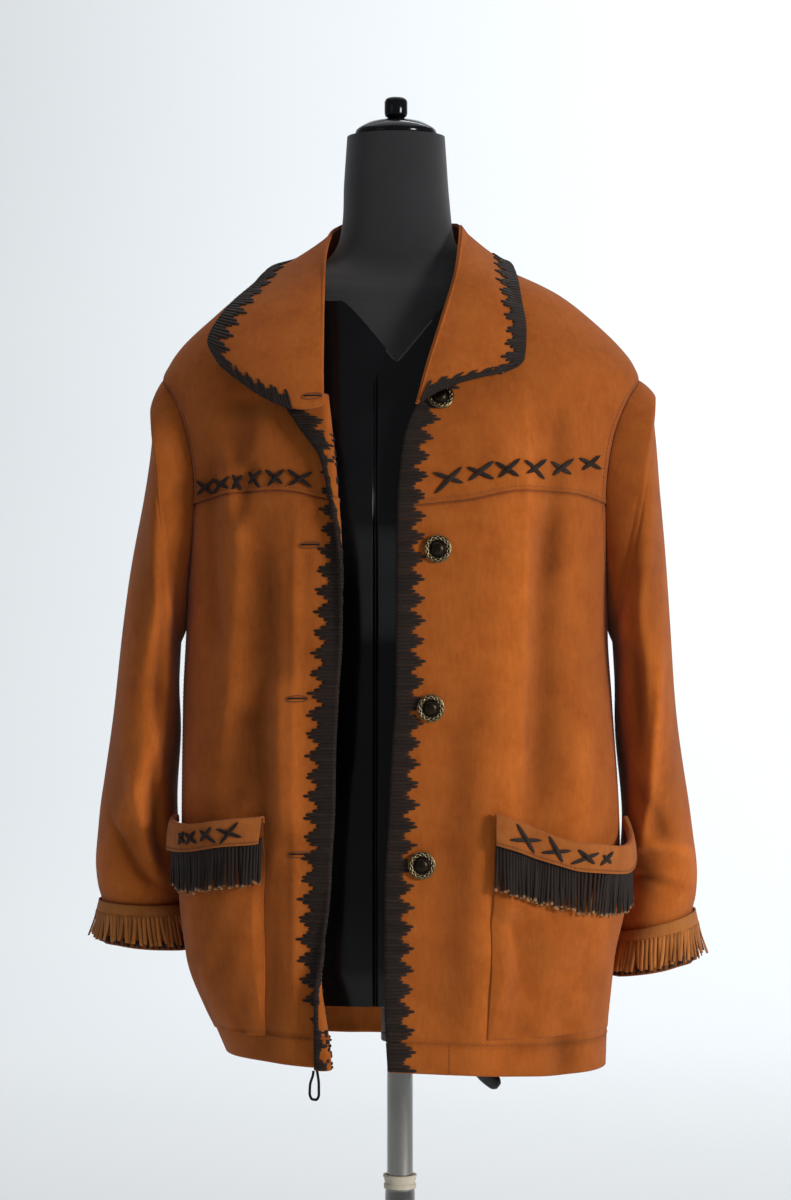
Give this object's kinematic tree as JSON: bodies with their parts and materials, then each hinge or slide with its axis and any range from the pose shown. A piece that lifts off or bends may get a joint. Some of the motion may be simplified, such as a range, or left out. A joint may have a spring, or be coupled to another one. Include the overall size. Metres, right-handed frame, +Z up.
{
  "type": "suede coat on dress form with stand",
  "caption": "Hip-length suede coat with wide collar, laced edges, fringed cuffs and pockets, worn open by a limbless dress form on a round pole stand.",
  "frame": {"origin": "centre of the base's underside, on the floor", "axes": "+Z up along the pole, the coat's front faces -Y, the wearer's left is +X"},
  "size_m": [0.6085, 0.34, 1.6041],
  "materials": {
    "suede": "napped cognac suede",
    "dark_lace": "smooth dark brown lacing",
    "brass": "aged",
    "gloss_black": "gloss",
    "jersey": "matte jersey",
    "chrome": "polished",
    "base_metal": "satin grey",
    "cream_plastic": "satin"
  },
  "bodies": {
    "stand": {"base": "base_metal", "outer_tube": "chrome", "tube_collar": "cream_plastic"},
    "form": {"back": "suede", "button_1": "brass", "button_2": "brass", "button_3": "brass", "button_4": "brass", "collar": "suede", "collar_edging": "dark_lace", "form_neck": "jersey", "form_torso": "gloss_black", "inner_pole": "chrome", "lace_loop": "dark_lace", "left_cuff_fringe": "suede", "left_front": "suede", "left_front_edging": "dark_lace", "left_pocket": "suede", "left_pocket_band": "suede", "left_pocket_cross_1": "dark_lace", "left_pocket_cross_2": "dark_lace", "left_pocket_cross_3": "dark_lace", "left_pocket_cross_4": "dark_lace", "left_pocket_fringe": "dark_lace", "left_sleeve": "suede", "left_yoke": "suede", "left_yoke_cross_1": "dark_lace", "left_yoke_cross_2": "dark_lace", "left_yoke_cross_3": "dark_lace", "left_yoke_cross_4": "dark_lace", "left_yoke_cross_5": "dark_lace", "left_yoke_cross_6": "dark_lace", "neck_cap": "gloss_black", "neck_knob": "gloss_black", "pole_clamp": "base_metal", "right_cuff_fringe": "suede", "right_front": "suede", "right_front_edging": "dark_lace", "right_pocket": "suede", "right_pocket_band": "suede", "right_pocket_cross_1": "dark_lace", "right_pocket_cross_2": "dark_lace", "right_pocket_cross_3": "dark_lace", "right_pocket_cross_4": "dark_lace", "right_pocket_fringe": "dark_lace", "right_sleeve": "suede", "right_yoke": "suede", "right_yoke_cross_1": "dark_lace", "right_yoke_cross_2": "dark_lace", "right_yoke_cross_3": "dark_lace", "right_yoke_cross_4": "dark_lace", "right_yoke_cross_5": "dark_lace", "right_yoke_cross_6": "dark_lace"},
    "lever": {"height_lever": "gloss_black"}
  },
  "joints": [
    {"name": "height_slide", "type": "slide", "parent": "stand", "child": "form", "axis": [0, 0, 1], "range_m": [-0.12, 0.2]},
    {"name": "clamp_lever", "type": "hinge", "parent": "form", "child": "lever", "pos_m": [0.0218, 0, 0.676], "axis": [0, 1, 0], "range_deg": [0, 25]}
  ]
}
